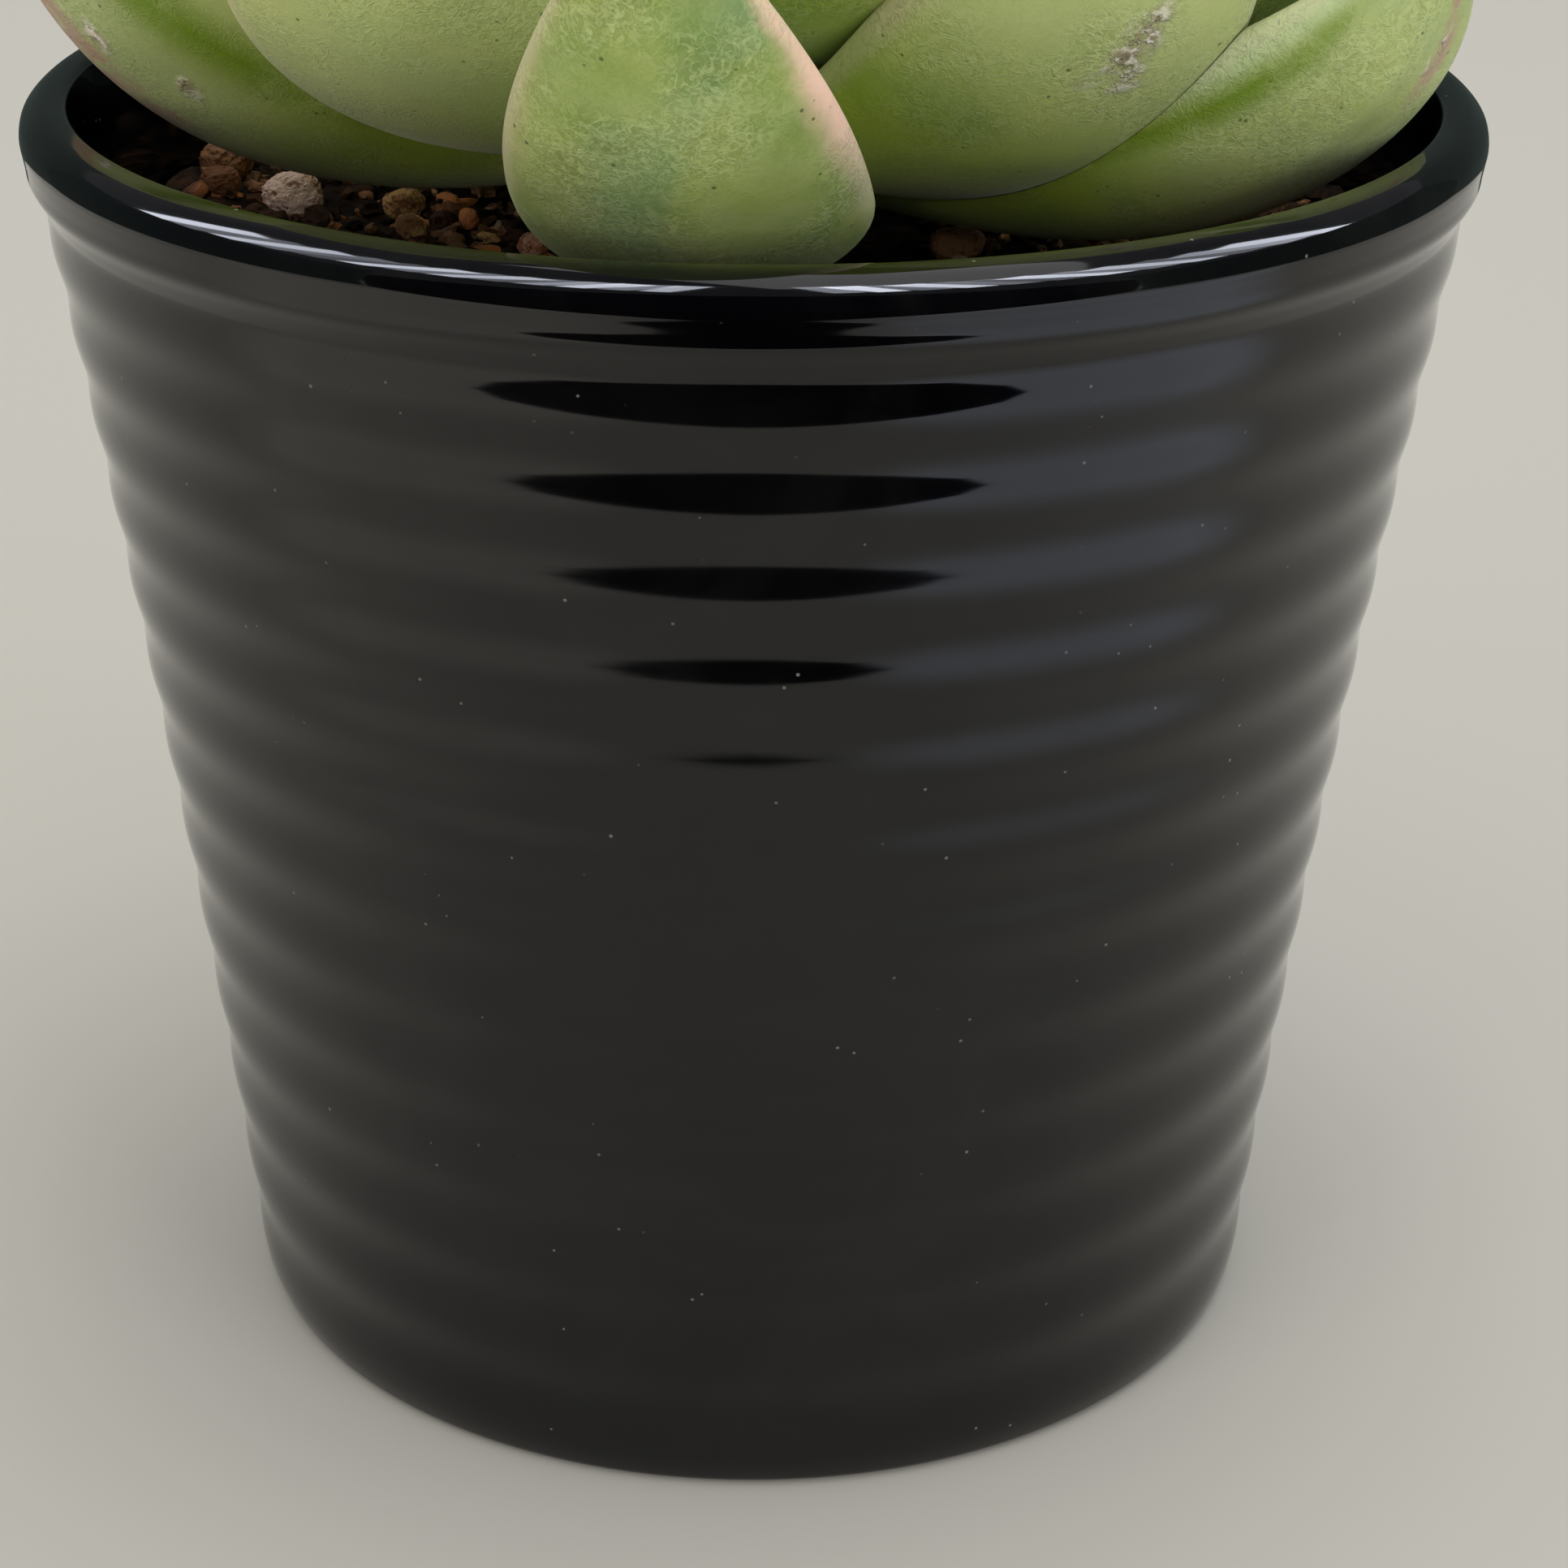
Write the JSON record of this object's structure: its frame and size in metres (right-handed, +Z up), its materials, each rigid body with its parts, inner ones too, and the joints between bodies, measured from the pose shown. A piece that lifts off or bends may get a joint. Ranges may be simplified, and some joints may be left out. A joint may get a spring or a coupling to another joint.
{
  "type": "potted rosette succulent",
  "caption": "Thick-leaved rosette succulent on a short stem, growing in gritty soil in a gloss black ceramic pot with ribs turned round its tapered wall.",
  "frame": {"origin": "centre of the pot's flat foot, on the surface it stands on", "axes": "+Z up along the pot's axis, -Y towards the front that the picture shows, +X to its right"},
  "size_m": [0.12, 0.12, 0.1572],
  "materials": {
    "glaze": "high gloss black glaze",
    "soil": "dark gritty potting mix",
    "stem": "dry grey-brown bark with leaf scars",
    "leaf": "pale green skin under a powdery bloom, pink-beige margins",
    "young_leaf": "fresh yellow-green skin under a powdery bloom",
    "pumice": "rough whitish pumice",
    "gravel": "rough tan and brown grit",
    "bark": "dry orange-brown bark"
  },
  "bodies": {
    "root": {"pot": "glaze", "soil": "soil", "stem": "stem", "leaf_00": "leaf", "leaf_01": "leaf", "leaf_02": "leaf", "leaf_03": "leaf", "leaf_04": "leaf", "leaf_05": "leaf", "leaf_06": "leaf", "leaf_07": "leaf", "leaf_08": "leaf", "leaf_09": "leaf", "leaf_10": "leaf", "leaf_11": "leaf", "leaf_12": "leaf", "leaf_13": "leaf", "leaf_14": "leaf", "leaf_15": "leaf", "leaf_16": "leaf", "leaf_17": "leaf", "leaf_18": "leaf", "leaf_19": "leaf", "leaf_20": "leaf", "leaf_21": "leaf", "leaf_22": "leaf", "leaf_23": "leaf", "rosette_heart": "young_leaf", "pumice_large": "pumice", "gravel_pink": "gravel", "gravel_brown": "gravel", "gravel_tan": "gravel", "gravel_orange": "gravel", "gravel_pale": "pumice", "bark_1": "bark", "bark_2": "bark", "gravel_right": "gravel", "pumice_back": "pumice", "gravel_front": "gravel", "bark_back": "bark"}
  },
  "joints": []
}
